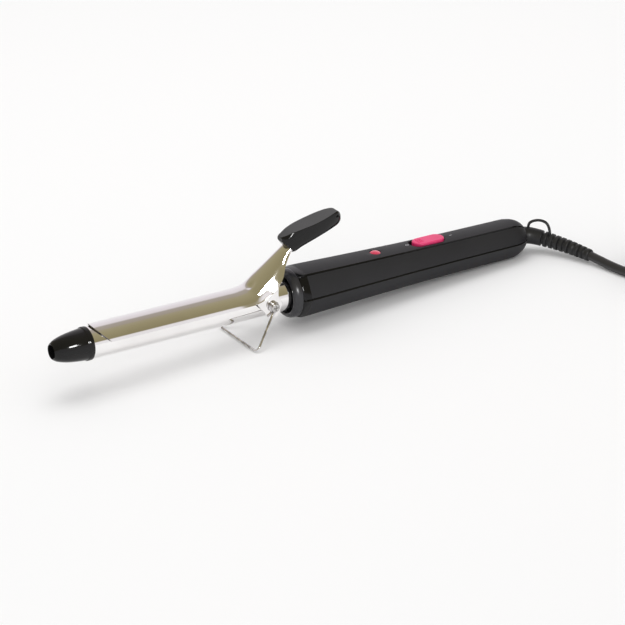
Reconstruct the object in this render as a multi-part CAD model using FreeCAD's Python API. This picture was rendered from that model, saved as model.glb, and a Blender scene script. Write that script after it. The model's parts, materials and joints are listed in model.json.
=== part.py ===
"""Curling iron with a spring clamp, a folding wire stand, a slide switch and its mains cord.

The iron is drawn with its barrel along X, the tip towards -X and the clamp's pivot at the origin.
It is then tilted so that it stands on the wire foot and on the heel of the handle, and moved so
that the frame's origin is at the bottom centre of the iron. Millimetres, +Z up.
"""
import FreeCAD, Part
import math
import os
from FreeCAD import Vector

# ---- barrel and cool tip ----
BARREL_R = 9.5
BARREL_WALL = 0.8
BARREL_FRONT = -113.2
BARREL_REAR = 32.0
TIP_LENGTH = 22.3
TIP_RIM_R = 4.4
TIP_BORE_R = 3.9
TIP_BORE_DEPTH = 9.0
SPIGOT_LENGTH = 9.0
FIT_GAP = 0.05

# ---- heater inside the barrel ----
SPREADER_R = BARREL_R - BARREL_WALL - 0.1
SPREADER_SPAN = (-103.0, -12.0)
SLEEVE_HALF = (5.5, 1.6)
FILM = 0.25
ELECTRODE = 0.3
ELECTRODE_END = -9.0
CHIP_COUNT = 3
CHIP_LENGTH = 26.0
CHIP_HALF_WIDTH = 4.4

# ---- clamp ----
SHEET = 0.8
SPOON_GAP = 0.3
SPOON_FRONT = -111.3
SPOON_REAR = -14.0
SPOON_HALF_ANGLE = 78.0
EAR_INNER = 10.7
# x, top z, slope, half width at the edge, half width at the shoulder, shoulder drop, depth
LEVER_STATIONS = (
    (-17.5, 10.75, 0, 10.6, 9.35, 5.3, 8.2),
    (-11.0, 12.0, 24, 10.9, 9.2, 5.4, 9.4),
    (-4.5, 16.6, 35, 11.5, 8.5, 5.2, 10.4),
    (2.5, 21.6, 36, 10.4, 7.0, 4.2, 9.0),
    (8.5, 26.0, 36, 6.8, 5.5, 2.7, 5.4),
    (15.0, 30.6, 35, 4.6, 4.2, 1.6, 3.4),
    (28.0, 37.2, 20, 4.2, 3.8, 1.2, 2.4),
)
# x, bottom z, top z, half width
THUMB_STATIONS = ((12.3, 32.6, 35.4, 2.3), (15.0, 29.4, 37.0, 3.4), (18.6, 25.9, 38.8, 4.3),
                  (24.0, 28.2, 40.0, 5.1), (32.0, 31.1, 40.9, 5.8), (40.0, 34.0, 43.0, 6.2),
                  (47.0, 36.2, 45.4, 6.1), (51.8, 37.2, 45.6, 5.0), (54.4, 39.2, 43.6, 2.6))
RIVET_X = 24.5
RIVET_R = 1.5
RIVET_HEAD_TOP = 29.0
RIVET_TOP = 38.6
SPRING_WIDTH = 7.0
SPRING_THICK = 0.5
SPRING_FOLD_X = 9.4
SPRING_FOLD_R = 1.25
SPRING_ARM = 7.4
SPRING_LEAN = math.radians(58)
SPRING_SCREW_X = 2.0
SPRING_SCREW_R = 1.2

# ---- pivot and stand ----
SHOULDER_R = 1.6
THREAD_R = 1.2
SHOULDER_SEAT = 9.55
HEAD_FACE = 13.7
HEAD_R = 2.7
HEAD_THICK = 1.4
PIVOT_BAR_R = 2.8
WIRE_R = 0.8
WIRE_BEND_R = 2.4
EYE_R = 2.47
EYE_PLANE = 12.6
EYE_SWEEP = 275.0
STAND_STRAIGHT = 4.0
STAND_X = -16.3
STAND_DROP = 21.3
STAND_HALF_WIDTH = 21.3

# ---- handle ----
HANDLE_FRONT = 18.9
HANDLE_REAR = 183.2
REAR_FACE_R = 7.5
CORNER_DEG = (35.5, 90.5, 146.0)
FACET_BULGE = (0.8, 0.5, 0.8)
HANDLE_STATIONS = ((17.0, 16.2), (60.0, 14.6), (95.0, 13.45), (130.0, 12.7), (165.0, 12.4),
                   (186.0, 12.3))
CAVITY_STATIONS = ((25.0, 11.6), (60.0, 10.6), (95.0, 9.7), (130.0, 9.1), (176.0, 8.8))
HEEL_X = 178.45
HEEL_DROP = 11.03
SHELL_SCREW_X = (60.0, 140.0)
SCREW_SHANK_R = 1.4
SCREW_HEAD_R = 2.6
SCREW_HEAD_TOP = -9.2
BOSS_R = 3.0
COLLAR_FRONT = 13.4
COLLAR_R = 14.4
COLLAR_PLUG_R = 11.55

# ---- controls ----
LENS_X = 77.0
LENS_R = 3.3
BUTTON_X = 114.4
BUTTON_LENGTH = 21.0
BUTTON_WIDTH = 10.0
BUTTON_TOP = 12.4
BUTTON_GAP = 0.45
SWITCH_TRAVEL = 2.2
SWITCH_TOP = 5.8
SWITCH_SCREW_X = (97.6, 129.3)
LENS_TOP = 12.9
LENS_SPHERE_R = 5.2
LAMP_Z = 5.4

# ---- cord ----
CORD_R = 2.75
BOOT_ROOT_R = 5.5
BOOT_END_R = 3.7
BOOT_FLANGE_X = 172.5
LOOP_R = 0.8
CORD_CUT_X = 146.0
CLAMP_X = 152.0
CLAMP_SCREW_Y = 5.6
CORD_SEAT = -4.4
LEAD_R = 0.7
PIN_R = 2.0
PIN_Y = (-4.75, 4.75)
PIN_LENGTH = 19.0

# ---- how the iron stands ----
TILT = math.atan2(STAND_DROP + WIRE_R - HEEL_DROP, HEEL_X - STAND_X)
LIFT = WIRE_R + STAND_DROP * math.cos(TILT) + STAND_X * math.sin(TILT)
FRONT_REACH = (BARREL_FRONT - TIP_LENGTH) * math.cos(TILT) - TIP_RIM_R * math.sin(TILT)
REAR_REACH = HANDLE_REAR * math.cos(TILT) + REAR_FACE_R * math.sin(TILT)
SHIFT = -(FRONT_REACH + REAR_REACH) / 2

# ---- cord route: centre line in the standing frame, from inside the boot to the hank, by hand ----
BOOT_ROUTE = [(167.0, -5.6, 9.1), (173.3, -16.2, 7.2), (178.2, -27.6, 5.8), (181.0, -39.5, 4.8)]
LOOP_ROUTE = [(163.4, -2.4, 11.5), (162.0, -0.6, 17.6), (167.8, -6.2, 20.8), (171.8, -12.0, 18.0),
              (171.0, -12.8, 9.5)]
CORD_ROUTE = [(181.0, -39.5, 4.8), (182.4, -46.8, 4.0), (183.9, -55.4, 3.2), (186.0, -67.5, 2.8),
              (190.2, -78.2, 2.8), (195.6, -88.0, 2.8)]
HANK_CENTRE = (243.0, -79.0)
HANK_HALF = (54.0, 25.5)
HANK_HEIGHT = 21.6
TAIL_ROUTE = [(198.8, -95.0, 18.8), (205.6, -101.8, 17.4), (215.6, -108.0, 14.0),
              (227.0, -112.0, 10.0), (237.6, -113.8, 7.0), (247.4, -114.0, 5.7)]
PLUG_HALF_HEIGHT = 5.6
PLUG_LENGTH = 34.0


def cylinder_x(start, end, radius, y=0.0, z=0.0):
    return Part.makeCylinder(radius, end - start, Vector(start, y, z), Vector(1, 0, 0))


def ring_x(start, end, outer, inner):
    return cylinder_x(start, end, outer).cut(cylinder_x(start - 1, end + 1, inner))


def cylinder_y(start, end, radius, x=0.0, z=0.0):
    return Part.makeCylinder(radius, end - start, Vector(x, start, z), Vector(0, 1, 0))


def cylinder_z(start, end, radius, x=0.0, y=0.0):
    return Part.makeCylinder(radius, end - start, Vector(x, y, start), Vector(0, 0, 1))


def box(low, high):
    low, high = Vector(*low), Vector(*high)
    size = high - low
    return Part.makeBox(size.x, size.y, size.z, low)


def turned(profile):
    """A solid of revolution about X from a closed list of (x, radius) points."""
    wire = Part.makePolygon([Vector(x, 0, r) for x, r in profile + profile[:1]])
    return Part.Face(wire).revolve(Vector(0, 0, 0), Vector(1, 0, 0), 360)


def turned_curve(curve, closing):
    """As turned, with a smooth curve through the first points and straight edges through the rest."""
    spline = Part.BSplineCurve()
    spline.interpolate([Vector(x, 0, r) for x, r in curve])
    corners = [curve[-1]] + closing + [curve[0]]
    edges = [spline.toShape()]
    for start, end in zip(corners, corners[1:]):
        edges.append(Part.makeLine(Vector(start[0], 0, start[1]), Vector(end[0], 0, end[1])))
    return Part.Face(Part.Wire(edges)).revolve(Vector(0, 0, 0), Vector(1, 0, 0), 360)


def stadium_z(x, length, width, low, high):
    """An upright prism with straight sides along X and round ends, centred on (x, 0)."""
    radius = width / 2
    reach = length / 2 - radius
    middle = box((x - reach, -radius, low), (x + reach, radius, high))
    ends = [cylinder_z(low, high, radius, x - reach), cylinder_z(low, high, radius, x + reach)]
    return middle.multiFuse(ends).removeSplitter()


def both_sides(shape):
    """The shape and its mirror image across the XZ plane."""
    return Part.makeCompound([shape, shape.mirror(Vector(0, 0, 0), Vector(0, 1, 0))])


def rounded_path(points, fixed_radius=None):
    """The edges of straight runs joined by tangent arcs."""
    points = [Vector(*p) for p in points]
    edges = []
    start = points[0]
    for before, here, after in zip(points, points[1:], points[2:]):
        arriving = (here - before).normalize()
        leaving = (after - here).normalize()
        half_turn = arriving.getAngle(leaving) / 2
        if fixed_radius is None:
            radius = 0.45 * min((here - before).Length, (after - here).Length) / math.tan(half_turn)
        else:
            radius = fixed_radius
        setback = radius * math.tan(half_turn)
        arc_start = here - arriving * setback
        arc_end = here + leaving * setback
        inward = (leaving - arriving).normalize()
        arc_middle = here + inward * (radius / math.cos(half_turn) - radius)
        edges.append(Part.makeLine(start, arc_start))
        edges.append(Part.Arc(arc_start, arc_middle, arc_end).toShape())
        start = arc_end
    edges.append(Part.makeLine(start, points[-1]))
    return edges


def swept(edges, radii):
    """A round bar along the edges, with one radius, or a start and an end radius."""
    ends = ((edges[0], edges[0].FirstParameter), (edges[-1], edges[-1].LastParameter))
    profiles = []
    for radius, (edge, parameter) in zip(radii, ends):
        circle = Part.makeCircle(radius, edge.valueAt(parameter), edge.tangentAt(parameter))
        profiles.append(Part.Wire([circle]))
    return Part.Wire(edges).makePipeShell(profiles, True, False)


def wire_run(points, radius):
    return swept(rounded_path(points), [radius])


def standing(point):
    """A point of the drawn iron, in the standing frame."""
    x, y, z = point
    along = x * math.cos(TILT) + z * math.sin(TILT)
    height = z * math.cos(TILT) - x * math.sin(TILT)
    return (along + SHIFT, y, height + LIFT)


def station_radius(stations, x):
    for (x0, r0), (x1, r1) in zip(stations, stations[1:]):
        if x <= x1:
            return r0 + (r1 - r0) * (x - x0) / (x1 - x0)
    return stations[-1][1]


# ---------------------------------------------------------------- barrel

def barrel_tube():
    tube = ring_x(BARREL_FRONT, BARREL_REAR, BARREL_R, BARREL_R - BARREL_WALL)
    holes = cylinder_y(-BARREL_R - 1, BARREL_R + 1, THREAD_R + 0.1)
    spring_hole = cylinder_z(BARREL_R - 2, BARREL_R + 1, SPRING_SCREW_R + FIT_GAP, SPRING_SCREW_X)
    return tube.cut(holes).cut(spring_hole)


def cool_tip():
    """Bullet cap with a hollow front, a thin flange and a spigot inside the barrel."""
    front = BARREL_FRONT - TIP_LENGTH
    spigot_r = BARREL_R - BARREL_WALL - FIT_GAP
    outline = [(front, TIP_RIM_R), (front + 2, 5.9), (front + 5.5, 7.15), (front + 9.5, 8.05),
               (front + 14.5, 8.75), (front + 19.3, 9.2)]
    flange = [(BARREL_FRONT - 2.4, 9.65), (BARREL_FRONT - 0.3, 9.75), (BARREL_FRONT, 9.5),
              (BARREL_FRONT, spigot_r), (BARREL_FRONT + SPIGOT_LENGTH, spigot_r - 0.4),
              (BARREL_FRONT + SPIGOT_LENGTH, 0), (front, 0)]
    bore = cylinder_x(front - 1, front + TIP_BORE_DEPTH, TIP_BORE_R)
    recess = cylinder_x(BARREL_FRONT + 1, BARREL_FRONT + SPIGOT_LENGTH + 1, spigot_r - 2)
    return turned_curve(outline, flange).cut(bore).cut(recess)


def heat_spreader(side):
    """One aluminium half that presses the heater's flat side and the barrel's wall."""
    rod = cylinder_x(*SPREADER_SPAN, SPREADER_R)
    start, end = SPREADER_SPAN
    keep = box((start, -20, SLEEVE_HALF[1]), (end, 20, 20))
    half = rod.common(keep)
    return half if side > 0 else half.mirror(Vector(0, 0, 0), Vector(0, 0, 1))


def insulation_sleeve():
    half_width, half_height = SLEEVE_HALF
    start, end = SPREADER_SPAN
    outer = box((start, -half_width, -half_height), (end + 2, half_width, half_height))
    inner_low = (start - 1, FILM - half_width, FILM - half_height)
    inner = box(inner_low, (end + 3, half_width - FILM, half_height - FILM))
    return outer.cut(inner)


def ptc_elements():
    half_height = SLEEVE_HALF[1] - FILM - ELECTRODE
    chips = []
    for index in range(CHIP_COUNT):
        start = SPREADER_SPAN[0] + 3 + index * (CHIP_LENGTH + 2)
        low = (start, -CHIP_HALF_WIDTH, -half_height)
        high = (start + CHIP_LENGTH, CHIP_HALF_WIDTH, half_height)
        chips.append(box(low, high))
    return Part.makeCompound(chips)


def electrode_strips():
    """Two brass strips, one on each flat side of the chips, with a tab towards the handle."""
    high = SLEEVE_HALF[1] - FILM
    half_width = CHIP_HALF_WIDTH + 0.2
    strip = box((SPREADER_SPAN[0] + 1, -half_width, high - ELECTRODE), (ELECTRODE_END, half_width, high))
    tab = box((ELECTRODE_END, -1.5, high - ELECTRODE), (ELECTRODE_END + 3, 1.5, high))
    upper = strip.fuse(tab).removeSplitter()
    return Part.makeCompound([upper, upper.mirror(Vector(0, 0, 0), Vector(0, 0, 1))])


def retaining_ring():
    """Split spring ring behind the collar that keeps the barrel from pulling out."""
    ring = ring_x(28.6, 30.4, 11.0, BARREL_R + FIT_GAP)
    return ring.cut(box((28, -1.2, 0), (31, 1.2, 20)))


# ---------------------------------------------------------------- clamp

def spoon():
    """Half pipe over the barrel with a round front end."""
    inner = BARREL_R + SPOON_GAP
    outer = inner + SHEET
    pipe = ring_x(SPOON_FRONT - 1, SPOON_REAR, outer, inner)
    edge_y = outer * 1.5 * math.sin(math.radians(SPOON_HALF_ANGLE))
    edge_z = outer * 1.5 * math.cos(math.radians(SPOON_HALF_ANGLE))
    fan = [(0, 0), (-edge_y, edge_z), (-edge_y, 2 * outer), (edge_y, 2 * outer), (edge_y, edge_z), (0, 0)]
    wedge = Part.Face(Part.makePolygon([Vector(SPOON_FRONT - 2, y, z) for y, z in fan]))
    wedge = wedge.extrude(Vector(SPOON_REAR - SPOON_FRONT + 3, 0, 0))
    nose_x = SPOON_FRONT + outer
    plan = cylinder_z(-1, 2 * outer, outer + 0.01, nose_x)
    plan = plan.fuse(box((nose_x, -2 * outer, -1), (SPOON_REAR + 1, 2 * outer, 2 * outer)))
    return pipe.common(wedge).common(plan)


def lever_section(station, inset, extra_depth=0.0):
    """The arched outline of the lever at one station, moved inwards by inset."""
    x, top, slope, edge, shoulder, drop, depth = station
    slope = math.radians(slope)

    def place(y, up):
        return Vector(x - up * math.sin(slope), y, top + up * math.cos(slope))

    foot = edge - inset
    side = shoulder - inset
    arch = Part.Arc(place(-side, -drop - 0.6 * inset), place(0, -inset), place(side, -drop - 0.6 * inset))
    low = -depth - extra_depth
    edges = [Part.makeLine(place(-foot, low), place(-side, -drop - 0.6 * inset)), arch.toShape(),
             Part.makeLine(place(side, -drop - 0.6 * inset), place(foot, low)),
             Part.makeLine(place(foot, low), place(-foot, low))]
    return Part.Wire(edges)


def lever():
    outer = Part.makeLoft([lever_section(s, 0) for s in LEVER_STATIONS], True, False)
    inner = Part.makeLoft([lever_section(s, SHEET, 2.0) for s in LEVER_STATIONS], True, False)
    return outer.cut(inner)


def ear(side):
    """Flat side plate that hangs from the lever's edge down to the pivot."""
    def at(x, z):
        return Vector(x, 0, z)

    edges = [
        Part.makeLine(at(-9.6, 4.6), at(-4.5, -4.4)),
        Part.Arc(at(-4.5, -4.4), at(0, -8.2), at(4.6, -4.8)).toShape(),
        Part.makeLine(at(4.6, -4.8), at(6.6, 0.5)),
        Part.Arc(at(6.6, 0.5), at(3.7, 5.6), at(2.4, 11.0)).toShape(),
        Part.makeLine(at(2.4, 11.0), at(3.4, 16.0)),
        Part.makeLine(at(3.4, 16.0), at(-3.0, 13.2)),
        Part.makeLine(at(-3.0, 13.2), at(-7.5, 9.6)),
        Part.makeLine(at(-7.5, 9.6), at(-9.6, 4.6)),
    ]
    plate = Part.Face(Part.Wire(edges)).extrude(Vector(0, SHEET, 0))
    hole = cylinder_y(-1, SHEET + 1, SHOULDER_R + FIT_GAP)
    plate = plate.cut(hole)
    plate.translate(Vector(0, EAR_INNER, 0))
    return plate if side > 0 else plate.mirror(Vector(0, 0, 0), Vector(0, 1, 0))


def clamp():
    sheet = spoon().multiFuse([lever(), ear(1), ear(-1)])
    barrel_room = cylinder_x(SPOON_FRONT - 5, COLLAR_FRONT, BARREL_R + SPOON_GAP - 0.02)
    rivet_hole = cylinder_z(25, 45, RIVET_R + FIT_GAP, RIVET_X)
    return sheet.cut(barrel_room).cut(rivet_hole)


def thumb_section(x, low, high, half_width):
    """A rounded slab outline in the plane across X."""
    middle = (low + high) / 2
    crown = (high - low) * 0.12
    right = [(0.0, high), (half_width * 0.6, high), (half_width * 0.93, high - crown), (half_width, middle),
             (half_width * 0.9, low + crown), (half_width * 0.6, low), (0.0, low)]
    left = [(-y, z) for y, z in right[-2:0:-1]]
    spline = Part.BSplineCurve()
    spline.interpolate([Vector(x, y, z) for y, z in right + left], PeriodicFlag=True)
    return Part.Wire([spline.toShape()])


def thumb_rest():
    body = Part.makeLoft([thumb_section(*s) for s in THUMB_STATIONS], True, False)
    slot = Part.makeLoft([lever_section(s, -FIT_GAP, 0.2) for s in LEVER_STATIONS], True, False)
    return body.cut(slot).cut(cylinder_z(25, RIVET_TOP, RIVET_R + FIT_GAP, RIVET_X))


def thumb_rest_rivet():
    """Rivet from below, through the lever and up into the thumb rest."""
    return cylinder_z(RIVET_HEAD_TOP, RIVET_TOP - 0.1, RIVET_R, RIVET_X)


def clamp_spring():
    """Folded leaf: a foot on the barrel, a fold at the rear and an arm up to the lever's underside."""
    seat = BARREL_R + 0.1
    foot_start = -2.5

    def at(x, z):
        return Vector(x, -SPRING_WIDTH / 2, z)

    def turn(angle):
        return Vector(math.cos(angle), 0, math.sin(angle))

    centre = at(SPRING_FOLD_X, seat + SPRING_FOLD_R)
    halfway = turn((SPRING_LEAN - math.pi / 2) / 2)
    rise = turn(SPRING_LEAN + math.pi / 2) * SPRING_ARM
    inner_r = SPRING_FOLD_R - SPRING_THICK
    outer_end = centre + turn(SPRING_LEAN) * SPRING_FOLD_R
    inner_end = centre + turn(SPRING_LEAN) * inner_r
    low = at(SPRING_FOLD_X, seat)
    high = at(SPRING_FOLD_X, seat + SPRING_THICK)
    foot = [at(foot_start, seat + SPRING_THICK), at(foot_start, seat)]
    corners = [high] + foot + [low]
    tip = [outer_end, outer_end + rise, inner_end + rise, inner_end]
    edges = [Part.makeLine(p, q) for p, q in zip(corners, corners[1:])]
    edges.append(Part.Arc(low, centre + halfway * SPRING_FOLD_R, outer_end).toShape())
    edges += [Part.makeLine(p, q) for p, q in zip(tip, tip[1:])]
    edges.append(Part.Arc(inner_end, centre + halfway * inner_r, high).toShape())
    strip = Part.Face(Part.Wire(edges)).extrude(Vector(0, SPRING_WIDTH, 0))
    return strip.cut(cylinder_z(8, 12, SPRING_SCREW_R + FIT_GAP, SPRING_SCREW_X))


def spring_screw():
    top = BARREL_R + 0.1 + SPRING_THICK
    head = cylinder_z(top, top + 1.0, 2.1, SPRING_SCREW_X)
    shank = cylinder_z(PIVOT_BAR_R + 4.2, top, SPRING_SCREW_R, SPRING_SCREW_X)
    slot = box((SPRING_SCREW_X - 3, -0.3, top + 0.5), (SPRING_SCREW_X + 3, 0.3, top + 2))
    return head.fuse(shank).cut(slot)


# ---------------------------------------------------------------- pivot and stand

def pivot_bar():
    """Round bar across the inside of the barrel, tapped at both ends for the pivot screws."""
    reach = SPREADER_R - 0.4
    return cylinder_y(-reach, reach, PIVOT_BAR_R).cut(cylinder_y(-reach - 1, reach + 1, THREAD_R + FIT_GAP))


def pivot_screws():
    thread = cylinder_y(3.0, SHOULDER_SEAT, THREAD_R)
    shoulder = cylinder_y(SHOULDER_SEAT, HEAD_FACE, SHOULDER_R)
    head = cylinder_y(HEAD_FACE, HEAD_FACE + HEAD_THICK, HEAD_R)
    rim = HEAD_FACE + HEAD_THICK - 0.01
    top_edges = [e for e in head.Edges if e.BoundBox.YMin > rim]
    head = head.makeFillet(0.7, top_edges)
    slot_low = HEAD_FACE + HEAD_THICK - 0.7
    cross = box((-1.6, slot_low, -0.3), (1.6, slot_low + 2, 0.3))
    cross = cross.fuse(box((-0.3, slot_low, -1.6), (0.3, slot_low + 2, 1.6)))
    screw = thread.multiFuse([shoulder, head]).cut(cross)
    return both_sides(screw)


def spacer_washers():
    washer = cylinder_y(BARREL_R + 0.1, EAR_INNER - 0.1, 3.4).cut(cylinder_y(0, 20, SHOULDER_R + FIT_GAP))
    return both_sides(washer)


def stand_wire():
    """One bent wire: an eye, a leg, the cross-bar, the other leg and its eye."""
    corner = Vector(STAND_X, 0, -STAND_DROP)
    corner_angle = math.atan2(corner.z, corner.x)
    leg_angle = corner_angle - math.asin(EYE_R / corner.Length)
    touch_angle = leg_angle + math.pi / 2
    sweep = math.radians(EYE_SWEEP)

    def on_eye(angle, side):
        return Vector(EYE_R * math.cos(angle), side * EYE_PLANE, EYE_R * math.sin(angle))

    def eye(side):
        angles = (touch_angle + sweep, touch_angle + sweep / 2, touch_angle)
        points = [on_eye(a, side) for a in angles]
        return Part.Arc(*(points if side < 0 else points[::-1])).toShape()

    down_leg = Vector(math.cos(leg_angle), 0, math.sin(leg_angle)) * STAND_STRAIGHT
    near = [on_eye(touch_angle, -1), on_eye(touch_angle, -1) + down_leg,
            Vector(STAND_X, -STAND_HALF_WIDTH, -STAND_DROP)]
    far = [Vector(p.x, -p.y, p.z) for p in reversed(near)]
    legs = rounded_path(near + far, WIRE_BEND_R)
    return swept([eye(-1)] + legs + [eye(1)], [WIRE_R])


# ---------------------------------------------------------------- handle

def handle_outline(x, radius):
    """Softly bulged six-sided section: flat-topped, with its corners on a circle."""
    corners = [math.radians(d) for d in CORNER_DEG]
    corners += [-angle for angle in reversed(corners)]
    top, side, bottom = FACET_BULGE
    bulges = [side, side, bottom, side, side, top]
    points = [Vector(x, -radius * math.sin(a), radius * math.cos(a)) for a in corners]
    edges = []
    for index, start in enumerate(points):
        end = points[(index + 1) % len(points)]
        middle = (start + end) * 0.5
        outward = Vector(0, middle.y, middle.z).normalize()
        edges.append(Part.Arc(start, middle + outward * bulges[index], end).toShape())
    return Part.Wire(edges)


def handle_solid():
    faceted = Part.makeLoft([handle_outline(x, r) for x, r in HANDLE_STATIONS], True, False)
    envelope = turned_curve(
        [(164.0, 13.6), (172.0, 12.9), (178.0, 11.2), (181.6, 9.4), (HANDLE_REAR, REAR_FACE_R)],
        [(HANDLE_REAR, 0), (HANDLE_FRONT, 0), (HANDLE_FRONT, COLLAR_R + 0.1), (20.9, 15.55), (23.5, 17.5),
         (150.0, 17.5)])
    return faceted.common(envelope)


def cavity():
    return turned(list(CAVITY_STATIONS) + [(CAVITY_STATIONS[-1][0], 0), (CAVITY_STATIONS[0][0], 0)])


def shell_cuts():
    """Everything that is open in the handle besides its cavity."""
    slot_length = BUTTON_LENGTH + SWITCH_TRAVEL + 2 * BUTTON_GAP
    slot_x = BUTTON_X - SWITCH_TRAVEL / 2
    slot = stadium_z(slot_x, slot_length, BUTTON_WIDTH + 2 * BUTTON_GAP, 3, 20)
    flare_start = Vector(HANDLE_REAR - 4.4, 0, 0)
    return [cylinder_x(HANDLE_FRONT - 1, CAVITY_STATIONS[0][0] + 0.1, COLLAR_PLUG_R + FIT_GAP),
            cylinder_x(CAVITY_STATIONS[-1][0] - 0.1, HANDLE_REAR + 1, BOOT_ROOT_R + FIT_GAP),
            Part.makeCone(BOOT_ROOT_R, REAR_FACE_R - 0.4, 4.5, flare_start, Vector(1, 0, 0)),
            slot,
            cylinder_z(3, 20, LENS_R + FIT_GAP, LENS_X)]


def upper_half():
    return box((0, -30, 0), (200, 30, 30))


def handle_upper_shell():
    shell = handle_solid().cut(cavity())
    bosses = [cylinder_z(0, 13, BOSS_R, x) for x in SHELL_SCREW_X]
    bosses.append(box((95.5, -7.0, 0.9), (99.6, 7.0, 9.4)))
    bosses.append(box((127.2, -7.0, 0.9), (131.4, 7.0, 9.2)))
    bosses = [b.common(handle_solid()) for b in bosses]
    shell = shell.multiFuse(bosses).common(upper_half())
    for x in SHELL_SCREW_X:
        shell = shell.cut(cylinder_z(-1, 7.0, SCREW_SHANK_R + FIT_GAP, x))
    for cut in shell_cuts():
        shell = shell.cut(cut)
    for x in SWITCH_SCREW_X:
        shell = shell.cut(cylinder_z(0, 6.0, 1.0 + FIT_GAP, x))
    return shell


def handle_lower_shell():
    whole = handle_solid()
    shell = whole.cut(cavity())
    bosses = [cylinder_z(-13, 0, BOSS_R + 0.6, x) for x in SHELL_SCREW_X]
    bosses += [cylinder_z(-13, CORD_SEAT, 2.6, CLAMP_X, side * CLAMP_SCREW_Y) for side in (-1, 1)]
    bosses = [b.common(whole) for b in bosses]
    lower = upper_half().mirror(Vector(0, 0, 0), Vector(0, 0, 1))
    shell = shell.multiFuse(bosses).common(lower)
    for x in SHELL_SCREW_X:
        shell = shell.cut(cylinder_z(-20, 1, SCREW_SHANK_R + FIT_GAP, x))
        shell = shell.cut(cylinder_z(-20, SCREW_HEAD_TOP, SCREW_HEAD_R + FIT_GAP, x))
    for side in (-1, 1):
        hole_y = side * CLAMP_SCREW_Y
        shell = shell.cut(cylinder_z(CORD_SEAT - 5, CORD_SEAT + 1, 0.9 + FIT_GAP, CLAMP_X, hole_y))
    for cut in shell_cuts()[:3]:
        shell = shell.cut(cut)
    return shell


def handle_screws():
    screws = []
    for x in SHELL_SCREW_X:
        floor_z = -station_radius(HANDLE_STATIONS, x) * math.cos(math.radians(180 - CORNER_DEG[2]))
        head = cylinder_z(floor_z + 0.2, SCREW_HEAD_TOP - 0.02, SCREW_HEAD_R, x)
        shank = cylinder_z(SCREW_HEAD_TOP - 0.02, 6.6, SCREW_SHANK_R, x)
        cross = box((x - 1.5, -0.3, floor_z - 1), (x + 1.5, 0.3, floor_z + 0.9))
        cross = cross.fuse(box((x - 0.3, -1.5, floor_z - 1), (x + 0.3, 1.5, floor_z + 0.9)))
        screws.append(head.fuse(shank).cut(cross))
    return Part.makeCompound(screws)


def front_collar():
    """Dished ring in front of the handle, with a sleeve round the barrel and a plug in the handle."""
    profile = [(HANDLE_FRONT, COLLAR_PLUG_R), (HANDLE_FRONT, COLLAR_R), (17.6, 14.5), (16.0, 14.3),
               (14.6, 13.7), (13.7, 12.9), (COLLAR_FRONT, 12.1), (13.7, 11.5), (15.0, 11.0), (21.0, 10.7),
               (21.0, BARREL_R + FIT_GAP),
               (28.5, BARREL_R + FIT_GAP), (28.5, 11.1), (25.2, 11.1), (25.2, COLLAR_PLUG_R)]
    return turned(profile)


# ---------------------------------------------------------------- controls

def switch_button():
    """Domed sliding button with an end of small grip dots, a retaining plate and a driving stem."""
    body = stadium_z(BUTTON_X, BUTTON_LENGTH, BUTTON_WIDTH, SWITCH_TOP + 1.2, BUTTON_TOP)
    top_edges = [e for e in body.Edges if e.BoundBox.ZMin > BUTTON_TOP - 0.01]
    body = body.makeFillet(0.8, top_edges)
    dots = []
    for row in range(-1, 2):
        for column in range(3):
            centre = Vector(BUTTON_X - 7.6 + 1.5 * column, 1.6 * row, BUTTON_TOP)
            dots.append(Part.makeSphere(0.42, centre))
    plate = box((BUTTON_X - 12.2, -5.6, SWITCH_TOP + 0.3), (BUTTON_X + 12.2, 5.6, SWITCH_TOP + 1.3))
    stem = box((BUTTON_X - 2, -1.4, SWITCH_TOP - 2.4), (BUTTON_X + 2, 1.4, SWITCH_TOP + 0.4))
    return body.multiFuse([plate, stem] + dots).removeSplitter()


def switch_body():
    start, end = BUTTON_X - 11.5, BUTTON_X + 11.0
    case = box((start, -5.0, -3.0), (end, 5.0, SWITCH_TOP))
    flange = box((95.7, -4.5, -0.7), (131.2, 4.5, 0.6))
    travel_low = (BUTTON_X - 2.4 - SWITCH_TRAVEL, -1.8, SWITCH_TOP - 2.8)
    travel = box(travel_low, (BUTTON_X + 2.4, 1.8, SWITCH_TOP + 1))
    body = case.fuse(flange).cut(travel)
    for x in SWITCH_SCREW_X:
        body = body.cut(cylinder_z(-2, 2, 1.2, x))
    return body


def switch_screws():
    screws = []
    for x in SWITCH_SCREW_X:
        head = cylinder_z(-1.8, -0.75, 1.9, x)
        screws.append(head.fuse(cylinder_z(-0.75, 5.6, 1.0, x)))
    return Part.makeCompound(screws)


def switch_terminals():
    blades = []
    for offset in (-7.0, 0.0, 7.0):
        x = BUTTON_X + offset
        blades.append(box((x - 1.2, -0.3, -6.2), (x + 1.2, 0.3, -3.0)))
    return Part.makeCompound(blades)


def lamp_lens():
    """Small domed window with a flange behind the shell."""
    stem = cylinder_z(8.6, LENS_TOP - 1.4, LENS_R, LENS_X)
    flange = cylinder_z(7.8, 8.7, LENS_R + 1.0, LENS_X)
    ball = Part.makeSphere(LENS_SPHERE_R, Vector(LENS_X, 0, LENS_TOP - LENS_SPHERE_R))
    dome = ball.common(cylinder_z(LENS_TOP - 1.5, LENS_TOP + 1, LENS_R, LENS_X))
    return stem.multiFuse([flange, dome])


def neon_lamp():
    glass = cylinder_x(LENS_X - 5, LENS_X + 4, 1.9, 0, LAMP_Z)
    nose = Part.makeSphere(1.9, Vector(LENS_X - 5, 0, LAMP_Z))
    leads = [cylinder_x(LENS_X + 4, LENS_X + 9, 0.3, y, LAMP_Z) for y in (-0.9, 0.9)]
    return glass.multiFuse([nose] + leads)


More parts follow.
